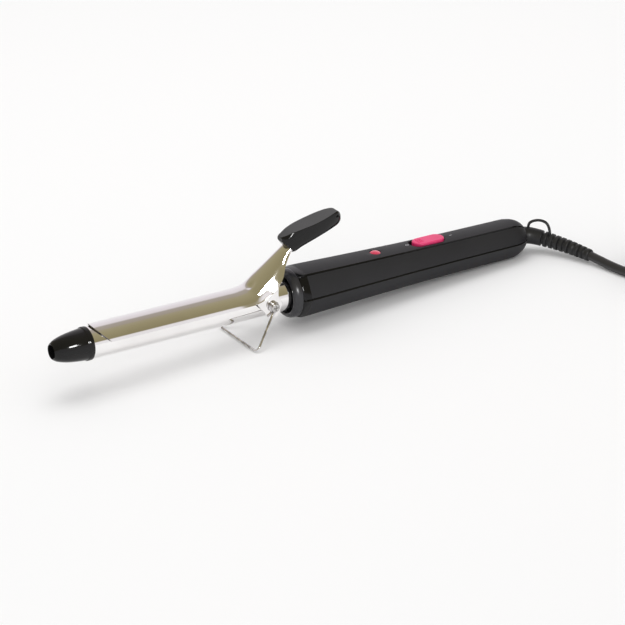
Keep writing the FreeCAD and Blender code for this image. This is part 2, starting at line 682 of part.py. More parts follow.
def lamp_resistor():
    body = cylinder_x(LENS_X + 9.6, LENS_X + 16.2, 1.2, 0.9, LAMP_Z)
    return body.fuse(cylinder_x(LENS_X + 16.2, LENS_X + 18.2, 0.3, 0.9, LAMP_Z))


def thermal_fuse():
    case = cylinder_x(38.0, 48.0, 1.9, 5.2, -1.0)
    return case.fuse(cylinder_x(36.2, 49.8, 1.0, 5.2, -1.0))


def heater_leads():
    """Two sleeved leads from the electrode tabs, over and under the pivot bar, into the handle."""
    over = [(-5.9, 0, 1.2), (-4.4, 0.3, 2.6), (-3.2, 0.9, 4.2), (4.5, 2.2, 4.9), (14.0, 4.0, 3.0),
            (26.0, 5.1, 0.2), (36.2, 5.2, -1.0)]
    under = [(-5.9, 0, -1.2), (-4.4, -0.3, -2.6), (-3.2, -0.9, -4.2), (5.0, -1.6, -4.9),
             (20.0, -4.4, -4.4), (42.0, -6.6, -4.6), (70.0, -6.4, -5.6), (88.0, -4.0, -6.6),
             (99.0, -1.3, -7.6), (108.2, 0.0, -6.9)]
    return Part.makeCompound([wire_run(over, LEAD_R), wire_run(under, LEAD_R)])


def supply_leads():
    """The cord's two cores, from its cut end to the switch and to the fuse."""
    live = [(CORD_CUT_X, -1.2, -2.6), (143.6, -3.9, -2.9), (139.0, -5.4, -3.6), (131.0, -5.2, -5.2),
            (122.6, -0.9, -6.6)]
    neutral = [(CORD_CUT_X, 1.2, -2.6), (143.6, 3.9, -2.9), (139.0, 5.4, -3.4), (124.0, 6.4, -4.6),
               (104.0, 6.2, -5.0), (86.0, 6.4, -4.6), (66.0, 6.9, -3.6), (49.9, 5.2, -1.0)]
    return Part.makeCompound([wire_run(live, LEAD_R), wire_run(neutral, LEAD_R)])


def cord_clamp():
    """Bridge that presses the cord onto the lower shell."""
    bar = box((CLAMP_X - 2.5, -8.0, CORD_SEAT + 0.1), (CLAMP_X + 2.5, 8.0, 4.2))
    bar = bar.common(cylinder_x(CLAMP_X - 4, CLAMP_X + 4, 8.6))
    groove = cylinder_x(CLAMP_X - 4, CLAMP_X + 4, CORD_R + 0.02)
    groove = groove.fuse(box((CLAMP_X - 4, -CORD_R - 0.02, -9), (CLAMP_X + 4, CORD_R + 0.02, 0)))
    bar = bar.cut(groove)
    for side in (-1, 1):
        bar = bar.cut(cylinder_z(-6, 5, 1.1, CLAMP_X, side * CLAMP_SCREW_Y))
    return bar


def cord_clamp_screws():
    screws = []
    for side in (-1, 1):
        y = side * CLAMP_SCREW_Y
        head = cylinder_z(4.22, 5.0, 1.6, CLAMP_X, y)
        screws.append(head.fuse(cylinder_z(CORD_SEAT - 4.5, 4.22, 0.9, CLAMP_X, y)))
    return Part.makeCompound(screws)


# ---------------------------------------------------------------- cord

def boot_points():
    return [standing((BOOT_FLANGE_X + 3.3, 0, 0)), standing((HANDLE_REAR + 1.0, 0, 0))] + BOOT_ROUTE


def cord_in_boot():
    """The cord inside the boot and the handle, in the standing frame."""
    return wire_run([standing((CORD_CUT_X, 0, 0))] + boot_points()[1:], CORD_R)


def strain_relief():
    """Flexible boot: a flange behind the handle's rear wall, a neck and a tapering tail."""
    tail = swept(rounded_path(boot_points()), [BOOT_ROOT_R, BOOT_END_R])
    flange = ring_x(BOOT_FLANGE_X, CAVITY_STATIONS[-1][0] - 0.1, 7.6, CORD_R - 0.5)
    return tail.fuse(stand_up(flange)).cut(cord_in_boot())


def hang_loop():
    """Thin loop that grows from the boot's neck and returns to its ribs."""
    return wire_run(LOOP_ROUTE, LOOP_R)


def lying_cord(route):
    """A free stretch of the cord. Prints its bend radii, and its volume against section times length."""
    edges = rounded_path(route)
    tube = swept(edges, [CORD_R])
    radii = [round(e.Curve.Radius) for e in edges if hasattr(e.Curve, "Radius")]
    length = sum(e.Length for e in edges)
    print("cord radii", radii, "length", round(length, 1))
    print("volume ratio", round(tube.Volume / (length * math.pi * CORD_R ** 2), 4))
    return tube


def cord_hank():
    """The folded part of the cord, as one solid of its outer shape."""
    (x, y), (half_length, half_width) = HANK_CENTRE, HANK_HALF
    slab = stadium_z(0, 2 * half_length, 2 * half_width, 0.05, HANK_HEIGHT)
    slab = slab.makeFillet(4.0, [e for e in slab.Edges if e.BoundBox.ZLength < 0.01])
    slab.translate(Vector(x, y, 0))
    return slab


def cord_tie():
    """Strap round the middle of the hank."""
    (x, y), (_, half_width) = HANK_CENTRE, HANK_HALF
    outer = box((x - 4, y - half_width - 1.0, 0.0), (x + 4, y + half_width + 1.0, HANK_HEIGHT + 1.0))
    outer = outer.makeFillet(4.6, [e for e in outer.Edges if e.BoundBox.XLength > 7])
    return outer.cut(cord_hank())


def plug_frame(shape):
    """Turns a plug drawn with its cord end at the origin and its pins towards -X, and moves it."""
    shape.rotate(Vector(0, 0, 0), Vector(0, 0, 1), 180)
    shape.translate(Vector(*TAIL_ROUTE[-1]))
    return shape


def plug_body():
    """Slim two-pin plug body, waisted, with a tapering cord sleeve."""
    half_width = 8.2
    slab = box((-PLUG_LENGTH, -half_width, -PLUG_HALF_HEIGHT), (-8.0, half_width, PLUG_HALF_HEIGHT))
    slab = slab.makeFillet(3.4, [e for e in slab.Edges if e.BoundBox.XLength > 10])
    slab = slab.makeChamfer(1.0, [e for e in slab.Edges if e.BoundBox.XLength < 0.01])
    sleeve = Part.makeCone(4.9, 3.6, 9.0, Vector(-9.0, 0, 0), Vector(1, 0, 0))
    pins = [cylinder_x(-PLUG_LENGTH - 1, -PLUG_LENGTH + 8.1, PIN_R + FIT_GAP, y) for y in PIN_Y]
    return plug_frame(slab.fuse(sleeve).cut(pins[0]).cut(pins[1]))


def plug_pins():
    pins = []
    for y in PIN_Y:
        pin = cylinder_x(-PLUG_LENGTH - PIN_LENGTH, -PLUG_LENGTH + 8.0, PIN_R, y)
        tip = [e for e in pin.Edges if e.BoundBox.XMax < -PLUG_LENGTH - PIN_LENGTH + 0.01]
        pins.append(pin.makeFillet(1.2, tip))
    return plug_frame(Part.makeCompound(pins))


# ---------------------------------------------------------------- assembly

def stand_up(shape):
    """Moves a shape of the drawn iron into the standing frame."""
    moved = shape.copy()
    moved.rotate(Vector(0, 0, 0), Vector(0, 1, 0), math.degrees(TILT))
    moved.translate(Vector(SHIFT, 0, LIFT))
    return moved


DRAWN = {
    "cool_tip": cool_tip,
    "barrel_tube": barrel_tube,
    "heat_spreader_upper": lambda: heat_spreader(1),
    "heat_spreader_lower": lambda: heat_spreader(-1),
    "insulation_sleeve": insulation_sleeve,
    "ptc_elements": ptc_elements,
    "electrode_strips": electrode_strips,
    "retaining_ring": retaining_ring,
    "clamp": clamp,
    "thumb_rest": thumb_rest,
    "thumb_rest_rivet": thumb_rest_rivet,
    "clamp_spring": clamp_spring,
    "spring_screw": spring_screw,
    "pivot_bar": pivot_bar,
    "pivot_screws": pivot_screws,
    "spacer_washers": spacer_washers,
    "stand_wire": stand_wire,
    "front_collar": front_collar,
    "handle_upper_shell": handle_upper_shell,
    "handle_lower_shell": handle_lower_shell,
    "handle_screws": handle_screws,
    "switch_button": switch_button,
    "switch_body": switch_body,
    "switch_screws": switch_screws,
    "switch_terminals": switch_terminals,
    "lamp_lens": lamp_lens,
    "neon_lamp": neon_lamp,
    "lamp_resistor": lamp_resistor,
    "thermal_fuse": thermal_fuse,
    "heater_leads": heater_leads,
    "supply_leads": supply_leads,
    "cord_clamp": cord_clamp,
    "cord_clamp_screws": cord_clamp_screws,
}
STANDING = {
    "inner_cord": cord_in_boot,
    "strain_relief": strain_relief,
    "hang_loop": hang_loop,
    "supply_cord": lambda: lying_cord(CORD_ROUTE),
    "cord_hank": cord_hank,
    "cord_tie": cord_tie,
    "cord_tail": lambda: lying_cord(TAIL_ROUTE),
    "plug_body": plug_body,
    "plug_pins": plug_pins,
}


def main():
    os.makedirs("parts", exist_ok=True)
    shapes = {name: stand_up(make()) for name, make in DRAWN.items()}
    shapes.update({name: make() for name, make in STANDING.items()})
    for name, shape in shapes.items():
        shape.exportStep(os.path.join("parts", name + ".step"))


main()
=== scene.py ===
"""The look of the curling iron: chromed clamp and barrel, black handle, ribbed boot and mains cord.

Shapes are drawn in the iron's own frame, in millimetres: barrel along X with its tip at -X and the
clamp's pivot at the origin. IRON moves them to the standing frame in metres, as the CAD has it.
"""

import json
import math

import bmesh
import bpy
from mathutils import Matrix, Vector


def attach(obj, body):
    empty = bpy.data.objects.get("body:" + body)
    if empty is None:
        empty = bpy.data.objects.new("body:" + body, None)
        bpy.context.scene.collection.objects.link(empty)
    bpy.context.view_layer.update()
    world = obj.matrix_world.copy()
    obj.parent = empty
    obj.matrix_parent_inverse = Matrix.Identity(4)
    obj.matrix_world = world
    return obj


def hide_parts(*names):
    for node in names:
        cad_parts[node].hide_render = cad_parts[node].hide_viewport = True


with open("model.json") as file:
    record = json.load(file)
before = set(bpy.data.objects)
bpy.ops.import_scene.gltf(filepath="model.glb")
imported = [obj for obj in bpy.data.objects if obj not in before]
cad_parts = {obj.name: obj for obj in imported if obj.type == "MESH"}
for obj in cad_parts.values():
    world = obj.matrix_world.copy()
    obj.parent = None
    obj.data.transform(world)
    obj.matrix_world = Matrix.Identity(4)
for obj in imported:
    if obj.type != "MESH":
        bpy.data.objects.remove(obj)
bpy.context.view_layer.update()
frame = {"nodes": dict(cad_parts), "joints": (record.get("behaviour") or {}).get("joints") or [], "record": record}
JOINTS = {joint["name"]: joint for joint in frame["joints"]}
MM = 0.001
SLOTS_OF = {}       # each new piece's material slots, in the order its faces number them

# ---- the iron's own frame ----
PIVOT = Vector(JOINTS["clamp_pivot"]["pos_m"])
SLIDE = JOINTS["switch_slide"]["axis"]
TILT = math.atan2(SLIDE[2], -SLIDE[0])
IRON = Matrix.Translation(PIVOT) @ Matrix.Rotation(TILT, 4, "Y") @ Matrix.Scale(MM, 4)

# ---- camera: its direction from the iron, distance and aim, in the iron's frame ----
VIEW_TURN = math.radians(32.0)
VIEW_RISE = math.radians(24.12)
VIEW_DISTANCE = 1580.0
VIEW_AIM = Vector((33.79, 0.0, -16.32))
LENS_MM = 156.34
SENSOR_MM = 36.0
CLIP_START_M = 0.05
CLIP_END_M = 50.0

# ---- cord, in the standing frame, millimetres ----
STANDING = Matrix.Scale(MM, 4)
CORD_R = 2.75
CORD_STEPS = 12
CORD_ROUNDNESS = 6
CORD_ROUTE = [(181.0, -39.5, 4.8), (182.4, -46.8, 4.0), (183.9, -55.4, 3.2), (186.0, -67.5, 2.8),
              (190.2, -78.2, 2.8), (195.6, -88.0, 2.8)]
HANK_CENTRE = (243.0, -79.0)
HANK_STRAIGHT = 54.5
HANK_OUTER_R = 22.75
HANK_INNER_R = 17.25
HANK_LAYERS = (2.8, 8.2, 13.6, 18.8)
FOLD_STEPS = 5
FOLD_JOIN = 4       # the step of the left fold where the cord comes in and the tail leaves
TAIL_ROUTE = [(198.8, -95.0, 18.8), (205.6, -101.8, 17.4), (215.6, -108.0, 14.0),
              (227.0, -112.0, 10.0), (237.6, -113.8, 7.0), (247.4, -114.0, 5.7)]


# ------------------------------------------------------------------ camera

def make_camera():
    """A camera at the photograph's viewing angle."""
    sin_a, cos_a = math.sin(VIEW_TURN), math.cos(VIEW_TURN)
    sin_e, cos_e = math.sin(VIEW_RISE), math.cos(VIEW_RISE)
    back = Vector((-sin_a * cos_e, -cos_a * cos_e, sin_e))
    right = Vector((cos_a, -sin_a, 0.0))
    up = Vector((sin_a * sin_e, cos_a * sin_e, cos_e))
    turn = Matrix.Rotation(TILT, 3, "Y") @ Matrix((right, up, back)).transposed()
    data = bpy.data.cameras.new("camera")
    data.lens = LENS_MM
    data.sensor_width = SENSOR_MM
    data.clip_start = CLIP_START_M
    data.clip_end = CLIP_END_M
    camera = bpy.data.objects.new("camera", data)
    camera.matrix_world = Matrix.Translation(IRON @ (VIEW_AIM + back * VIEW_DISTANCE)) @ turn.to_4x4()
    bpy.context.scene.collection.objects.link(camera)
    bpy.context.scene.camera = camera


# ------------------------------------------------------------------ cord

def nurbs(name, points, radius):
    """A round cord whose smooth centre line has these control points, in millimetres."""
    data = bpy.data.curves.new(name, "CURVE")
    data.dimensions = "3D"
    data.resolution_u = CORD_STEPS
    data.bevel_depth = 1.0      # each point's own radius gives the thickness
    data.bevel_resolution = CORD_ROUNDNESS
    data.use_fill_caps = True
    spline = data.splines.new("NURBS")
    spline.points.add(len(points) - 1)
    for point, place in zip(spline.points, points):
        point.co = (*(Vector(place) * MM), 1.0)
        point.radius = radius * MM
    spline.order_u = 3
    spline.use_endpoint_u = True
    piece = bpy.data.objects.new(name, data)
    bpy.context.scene.collection.objects.link(piece)
    return piece


def fold_points(end, start_angle, radii, heights, steps):
    """Control points round one end fold of the hank, a half circle that may change size and height."""
    centre_x, centre_y = HANK_CENTRE
    points = []
    for step in steps:
        share = step / FOLD_STEPS
        radius = radii[0] + (radii[1] - radii[0]) * share
        height = heights[0] + (heights[1] - heights[0]) * share
        if 0 < step < FOLD_STEPS:
            radius /= math.cos(math.pi / FOLD_STEPS / 2)
        angle = start_angle + math.pi * share
        points.append((centre_x + end * HANK_STRAIGHT / 2 + radius * math.cos(angle),
                       centre_y + radius * math.sin(angle), height))
    return points


def hank_turns():
    """The flat turns, from the cord's arrival at the left end to where the tail leaves the top."""
    centre_x, centre_y = HANK_CENTRE
    radii = [HANK_OUTER_R, HANK_INNER_R, HANK_INNER_R, HANK_OUTER_R] * 2
    heights = [height for height in HANK_LAYERS for _ in range(2)]
    last = len(radii) - 1
    whole = range(FOLD_STEPS + 1)
    points = fold_points(-1, math.pi / 2, radii[:1] * 2, heights[:1] * 2, range(FOLD_JOIN, FOLD_STEPS + 1))
    for turn in range(last):
        ahead = turn + 1
        points.append((centre_x, centre_y - radii[turn], heights[turn]))
        points += fold_points(1, -math.pi / 2, radii[turn:turn + 2], heights[turn:turn + 2], whole)
        points.append((centre_x, centre_y + radii[ahead], heights[ahead]))
        steps = range(FOLD_JOIN) if ahead == last else whole
        points += fold_points(-1, math.pi / 2, [radii[ahead]] * 2, [heights[ahead]] * 2, steps)
    return points


def make_cord():
    """The mains cord: from the boot over the floor, round the hank, and down to the plug."""
    cord = nurbs("mains_cord", CORD_ROUTE + hank_turns() + TAIL_ROUTE, CORD_R)
    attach(cord, "iron")
    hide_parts("supply_cord", "cord_hank", "cord_tail")
    SLOTS_OF[cord] = ["cord_black"]


# ------------------------------------------------------------------ mesh helpers

# angles in degrees: an edge sharper than the first is drawn sharp, past the second it is softened
SHARP = 32.0
SOFTENED = 50.0
SOFT_SEGMENTS = 2


def distances_along(line):
    """Each point's distance along the line from its first point."""
    spots = [0.0]
    for before, here in zip(line, line[1:]):
        spots.append(spots[-1] + (here - before).length)
    return spots


def smooth_run(keys, steps):
    """Rows of points along smooth curves through the key rows, item by item."""
    spots = distances_along([row[len(row) // 2] for row in keys])

    def slope(index, item):
        low, high = max(index - 1, 0), min(index + 1, len(keys) - 1)
        return (keys[high][item] - keys[low][item]) / (spots[high] - spots[low])

    rows = []
    for index in range(len(keys) - 1):
        span = spots[index + 1] - spots[index]
        for step in range(steps):
            t = step / steps
            row = []
            for item in range(len(keys[0])):
                row.append(keys[index][item] * (2 * t ** 3 - 3 * t ** 2 + 1)
                           + slope(index, item) * span * (t ** 3 - 2 * t ** 2 + t)
                           + keys[index + 1][item] * (3 * t ** 2 - 2 * t ** 3)
                           + slope(index + 1, item) * span * (t ** 3 - t ** 2))
            rows.append(row)
    rows.append(keys[-1])
    return rows


def smooth_line(points, steps):
    """Points along one smooth curve through the given ones."""
    return [row[0] for row in smooth_run([[Vector(p)] for p in points], steps)]


def circle_angles(count, shift=0.0):
    """Even angles round a full circle."""
    return [2 * math.pi * (step + shift) / count for step in range(count)]


def grid_faces(rows, columns, start=0, wrap=False, wrap_rows=False):
    """Quads between neighbouring rows of points."""
    faces = []
    for row in range(rows if wrap_rows else rows - 1):
        ahead = (row + 1) % rows
        for column in range(columns if wrap else columns - 1):
            beside = (column + 1) % columns
            faces.append((start + row * columns + column, start + row * columns + beside,
                          start + ahead * columns + beside, start + ahead * columns + column))
    return faces


def end_faces(points, columns):
    """The two faces that close the first and the last ring of points."""
    return [tuple(range(columns)), tuple(range(len(points) - columns, len(points)))]


def mesh_of(name, points, faces, matrix):
    """A linked mesh object with its normals outward."""
    mesh = bpy.data.meshes.new(name)
    mesh.from_pydata([matrix @ Vector(p) for p in points], [], faces)
    work = bmesh.new()
    work.from_mesh(mesh)
    bmesh.ops.recalc_face_normals(work, faces=work.faces)
    work.to_mesh(mesh)
    work.free()
    piece = bpy.data.objects.new(name, mesh)
    bpy.context.scene.collection.objects.link(piece)
    return piece


def piece_of(name, body, nodes, slots, points, faces, matrix=IRON, sharp=SHARP, finish_at=None):
    """Makes a mesh piece, puts it on its body and lets it stand for its CAD nodes."""
    piece = mesh_of(name, points, faces, matrix)
    for face in piece.data.polygons:
        face.use_smooth = True
        if finish_at:
            face.material_index = finish_at[face.index]
    piece.data.set_sharp_from_angle(angle=math.radians(sharp))
    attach(piece, body)
    if nodes:
        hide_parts(*nodes)
    SLOTS_OF[piece] = slots
    return piece


def soften(piece, width):
    """Rounds the sharp edges of a piece, in millimetres."""
    bevel = piece.modifiers.new("edges", "BEVEL")
    bevel.width = width * MM
    bevel.segments = SOFT_SEGMENTS
    bevel.limit_method = "ANGLE"
    bevel.angle_limit = math.radians(SOFTENED)


# ------------------------------------------------------------------ barrel, cool tip and collar

TURNED_COLUMNS = 96
PROFILE_STEPS = 6
# profiles are runs of (x, radius); a run marked True is a smooth curve through its points
BARREL_PROFILE = ((False, ((-113.2, 9.3), (-113.0, 9.5), (-60.0, 9.5), (0.0, 9.5), (31.8, 9.5), (32.0, 9.3),
                           (32.0, 8.7), (-60.0, 8.7), (-113.2, 8.7))),)
TIP_PROFILE = ((False, ((-126.5, 0.05), (-126.5, 3.9), (-134.9, 3.9), (-135.35, 4.0))),
               (True, ((-135.5, 4.35), (-135.15, 4.75), (-134.4, 5.3), (-133.3, 6.0), (-130.0, 7.15),
                       (-126.0, 8.05), (-121.0, 8.75), (-116.2, 9.2))),
               (False, ((-116.0, 9.25), (-115.75, 9.6), (-115.4, 9.7), (-113.7, 9.74), (-113.35, 9.68),
                        (-113.2, 9.5), (-113.2, 8.65), (-104.4, 8.25), (-104.2, 8.0), (-104.2, 6.6),
                        (-112.0, 6.6), (-112.0, 0.05))))
COLLAR_PROFILE = ((False, ((18.9, 11.55), (18.9, 14.35))),
                  (True, ((18.6, 14.45), (17.6, 14.5), (16.0, 14.3), (14.6, 13.7), (13.7, 12.9),
                          (13.4, 12.1), (13.7, 11.5), (15.0, 11.0), (17.5, 10.8), (21.0, 10.7))),
                  (False, ((21.0, 9.56), (28.5, 9.56), (28.5, 11.1), (25.2, 11.1), (25.2, 11.55))))


def turned_piece(name, node, slot, profile, closed):
    """A turned piece about the iron's X axis; an open profile starts and ends near the axis."""
    outline = []
    for smooth, run in profile:
        corners = [Vector((x, 0.0, radius)) for x, radius in run]
        outline += smooth_line(corners, PROFILE_STEPS) if smooth else corners
    points = [(x, radius * math.sin(angle), radius * math.cos(angle))
              for x, _, radius in outline for angle in circle_angles(TURNED_COLUMNS)]
    faces = grid_faces(len(outline), TURNED_COLUMNS, wrap=True, wrap_rows=closed)
    if not closed:
        faces += end_faces(points, TURNED_COLUMNS)
    piece_of(name, "iron", [node], [slot], points, faces)


def make_turned_pieces():
    """The chromed barrel, the glossy cap on its front and the dished ring at its rear."""
    turned_piece("barrel_chromed", "barrel_tube", "barrel_chrome", BARREL_PROFILE, True)
    turned_piece("cool_tip_cap", "cool_tip", "black_gloss", TIP_PROFILE, False)
    turned_piece("collar_dish", "front_collar", "collar_grey", COLLAR_PROFILE, True)


# ------------------------------------------------------------------ clamp

SHEET = 0.8
ACROSS = 41         # points across the pressing, odd so that one runs along its middle
SPOON_R = 10.6
SPOON_HALF = math.radians(78.0)
SPOON_NOSE = -100.7
NOSE_END = -70.0
NOSE_ROWS = 10
NOSE_POWER = 1.5
PLAIN_X = (-70.0, -55.0, -40.0)
BEND_X = (-30.0, -24.0)
LEVER_STEPS = 9
ARCH_HALF_STEPS = 12
SHOULDER_PASSES = 3
# x, top z, slope, half width at the edge, half width at the shoulder, shoulder drop, depth
LEVER_STATIONS = ((-17.5, 10.75, 0, 10.55, 9.35, 5.3, 8.2), (-11.0, 12.0, 24, 10.9, 9.2, 5.4, 9.4),
                  (-4.5, 16.6, 35, 11.4, 8.5, 5.2, 10.4), (2.5, 21.6, 36, 10.2, 7.2, 4.6, 8.6),
                  (8.5, 26.0, 36, 7.0, 5.7, 3.2, 5.4), (15.0, 30.6, 35, 4.8, 4.3, 1.7, 3.2),
                  (21.5, 34.7, 28, 4.2, 3.8, 1.3, 2.6), (28.0, 37.2, 20, 4.0, 3.6, 1.2, 2.4))
DENT_AT = (-9.6, -3.2)
DENT_HALF = (2.6, 1.5)
DENT_DEPTH = 0.75
DENT_INWARD = Vector((0.45, 0.0, -0.89))
EAR_HOLE_R = 1.7
# inset and y of the rings over the ear's edge, from its outer face to its inner one
EAR_EDGE = ((0.18, 11.5), (0.05, 11.42), (0, 11.3), (0, 10.85), (0.12, 10.7))
# the ear's outline as smooth runs of (x, z), each with its steps between points
EAR_RUNS = ((6, ((-4.5, -4.4), (-2.6, -7.2), (0, -8.2), (2.9, -7.0), (4.6, -4.8))),
            (6, ((6.6, 0.5), (5.1, 2.9), (3.9, 5.9), (4.0, 10.4))),
            (4, ((1.5, 8.6), (-3.0, 6.2), (-7.2, 4.2), (-10.2, 3.4))),
            (4, ((-9.3, 1.8), (-7.2, -1.0))))


def spoon_row(x):
    """The round spoon's cross-section, from one long edge to the other."""
    row = []
    for index in range(ACROSS):
        angle = SPOON_HALF * (2 * index / (ACROSS - 1) - 1)
        row.append(Vector((x, SPOON_R * math.sin(angle), SPOON_R * math.cos(angle))))
    return row


def nose_row(share):
    """A row of the spoon's front, slanted at its nose and upright at the end."""
    row = []
    for point in spoon_row(0.0):
        nose = SPOON_NOSE - point.z
        row.append(Vector((nose + (NOSE_END - nose) * share, point.y, point.z)))
    return row


def even_points(line, count):
    """Points at even distances along the line, its two ends among them."""
    spots = distances_along(line)
    even, seek = [], 0
    for index in range(count):
        goal = spots[-1] * index / (count - 1)
        while seek < len(line) - 2 and spots[seek + 1] < goal:
            seek += 1
        share = (goal - spots[seek]) / (spots[seek + 1] - spots[seek])
        even.append(line[seek].lerp(line[seek + 1], min(share, 1.0)))
    return even


def lever_row(station):
    """The lever's arched cross-section with its shoulders eased."""
    x, top, slope, edge, shoulder, drop, depth = station
    slope = math.radians(slope)
    radius = (shoulder ** 2 + drop ** 2) / (2 * drop)
    reach = math.asin(min(shoulder / radius, 1.0))
    arch = []
    for step in range(2 * ARCH_HALF_STEPS + 1):
        angle = reach * (step / ARCH_HALF_STEPS - 1)
        arch.append(Vector((radius * math.sin(angle), radius * math.cos(angle) - radius)))
    line = even_points([Vector((-edge, -depth))] + arch + [Vector((edge, -depth))], ACROSS)
    for _ in range(SHOULDER_PASSES):
        line = [line[0]] + [(a + b * 2 + c) / 4 for a, b, c in zip(line, line[1:], line[2:])] + [line[-1]]
    return [Vector((x - p.y * math.sin(slope), p.x, top + p.y * math.cos(slope))) for p in line]


def sheet_piece(rows):
    """Points and faces of a closed sheet whose outer side is the grid of rows, and its rim's face count."""
    columns = len(rows[0])
    points = [p for row in rows for p in row]
    for r, row in enumerate(rows):
        for c, here in enumerate(row):
            along = rows[min(r + 1, len(rows) - 1)][c] - rows[max(r - 1, 0)][c]
            across = row[min(c + 1, columns - 1)] - row[max(c - 1, 0)]
            points.append(here + across.cross(along).normalized() * SHEET)
    count = len(rows) * columns
    faces = grid_faces(len(rows), columns) + grid_faces(len(rows), columns, start=count)
    rim = [r * columns for r in range(len(rows))]
    rim += [(len(rows) - 1) * columns + c for c in range(1, columns)]
    rim += [r * columns + columns - 1 for r in range(len(rows) - 2, -1, -1)]
    rim += list(range(columns - 2, 0, -1))
    for a, b in zip(rim, rim[1:] + rim[:1]):
        faces.append((a, b, b + count, a + count))
    return points, faces, len(rim)


def dent(point):
    """Presses the small oval dimple into the lever's foot."""
    offset = Vector(((point.x - DENT_AT[0]) / DENT_HALF[0], (point.y - DENT_AT[1]) / DENT_HALF[1]))
    return point + DENT_INWARD * (DENT_DEPTH * math.exp(-offset.length_squared ** 2))


def ear_loops(side):
    """Rings of points from the pivot hole, over the outer face and edge, to the inner face and back."""
    outline = []
    for steps, run in EAR_RUNS:
        outline += smooth_line([(x, 0, z) for x, z in run], steps)
    hole = [p.normalized() * EAR_HOLE_R for p in outline]
    rings = [(hole, 0, EAR_EDGE[0][1])]
    rings += [(outline, inset, y) for inset, y in EAR_EDGE]
    rings += [(hole, 0, EAR_EDGE[-1][1])]
    return [[Vector((p.x, side * y, p.z)) - p.normalized() * inset for p in ring]
            for ring, inset, y in rings]


def make_clamp():
    """The pressing: spoon and lever as one bent sheet whose rim is painted a dark steel as shade along its edges,
    and an ear each side.
    """
    rows = [nose_row((step / NOSE_ROWS) ** NOSE_POWER) for step in range(NOSE_ROWS)]
    rows += [spoon_row(x) for x in PLAIN_X]
    bend = [spoon_row(x) for x in BEND_X]
    rows += smooth_run(bend + [lever_row(station) for station in LEVER_STATIONS], LEVER_STEPS)
    rows = [[dent(p) for p in row] for row in rows]
    points, faces, rim = sheet_piece(rows)
    # the rim faces take a dark steel finish: painted shade along the sheet's edges
    finish_at = [0] * (len(faces) - rim) + [1] * rim
    for side in (-1, 1):
        loops = ear_loops(side)
        faces += grid_faces(len(loops), len(loops[0]), start=len(points), wrap=True, wrap_rows=True)
        points += [p for loop in loops for p in loop]
    finish_at += [0] * (len(faces) - len(finish_at))
    piece_of("clamp_pressing", "clamp", ["clamp"], ["barrel_chrome", "rim_painted_shade"], points, faces,
             finish_at=finish_at)


# ------------------------------------------------------------------ thumb rest

# x, bottom z, top z, half width of the top face, half width of the body
THUMB_STATIONS = ((11.8, 33.6, 36.1, 1.2, 2.6), (13.2, 31.8, 36.8, 2.3, 4.3), (15.5, 29.2, 37.8, 3.5, 5.1),
                  (18.4, 26.2, 38.9, 4.5, 5.5), (24.0, 28.5, 40.3, 5.6, 6.0), (32.0, 31.3, 41.9, 6.2, 6.4),
                  (40.0, 33.9, 43.7, 5.7, 6.1), (45.5, 35.5, 44.9, 4.4, 5.2), (49.0, 36.5, 45.1, 2.9, 4.1),
                  (51.2, 37.8, 43.6, 1.4, 2.8))
THUMB_STEPS = 6
THUMB_EASE = 0.25
THUMB_SHARP = 24.0
FLAT_SHARES = (0.25, 0.5, 0.75, 1.0)
# share of the body's half width, share of its step in to the top face, share of the height below the top
THUMB_SIDE = ((1.0, 0.45, 0.10), (1.0, 0.1, 0.24), (1.0, 0.0, 0.42), (0.99, 0.0, 0.62), (0.93, 0.0, 0.80),
              (0.78, 0.0, 0.93), (0.5, 0.0, 0.99))


def thumb_row(station):
    """The thumb rest's cross-section, round from the middle of its top."""
    x, low, high, flat, half = station
    line = [(flat * share, high) for share in FLAT_SHARES]
    line += [(half * wide - (half - flat) * step_in, high - (high - low) * fall)
             for wide, step_in, fall in THUMB_SIDE]
    whole = [(0.0, high)] + line + [(0.0, low)] + [(-y, z) for y, z in reversed(line)]
    return [Vector((x, y, z)) for y, z in whole]


def make_thumb_rest():
    """The moulding on the lever's end, with a dull flat top and glossy sides."""
    rows = smooth_run([thumb_row(station) for station in THUMB_STATIONS], THUMB_STEPS)
    columns = len(rows[0])
    flats = len(FLAT_SHARES)
    points = [p for row in rows for p in row]
    faces = grid_faces(len(rows), columns, wrap=True)
    finish_at = [1 if index % columns < flats or index % columns >= columns - flats else 0
                 for index in range(len(faces))]
    faces += end_faces(points, columns)
    finish_at += [0, 0]
    piece = piece_of("thumb_rest_moulding", "clamp", ["thumb_rest"], ["black_gloss", "pad_grey"], points,
                     faces, sharp=THUMB_SHARP, finish_at=finish_at)
    soften(piece, THUMB_EASE)


# ------------------------------------------------------------------ boot and hanging loop

# the boot starts inside the handle, at two points on its axis in the iron's frame
BOOT_START_X = (175.8, 184.2)
# the rest of both lines is in the standing frame
BOOT_ROUTE = [(167.0, -5.6, 9.1), (173.3, -16.2, 7.2), (178.2, -27.6, 5.8), (181.0, -39.5, 4.8)]
LOOP_ROUTE = [(163.4, -2.4, 11.5), (162.0, -0.6, 17.6), (167.8, -6.2, 20.8), (171.8, -12.0, 18.0),
              (171.0, -12.8, 9.5)]
BOOT_STEPS = 44
BOOT_COLUMNS = 40
BOOT_R = (5.5, 3.7)
BOOT_EASE = 0.6
BOOT_SHARP = 60.0
NECK_LENGTH = 19.0
LAST_RIB = 1.5
RIB_PITCH = 3.7
RIB_DEPTH = 1.25
RIB_STEEPNESS = 1.6
RIB_WIDTH = 0.35    # above 0 the ribs are wider than the gaps between them
LOOP_R = 0.85
LOOP_STEPS = 14
LOOP_COLUMNS = 14


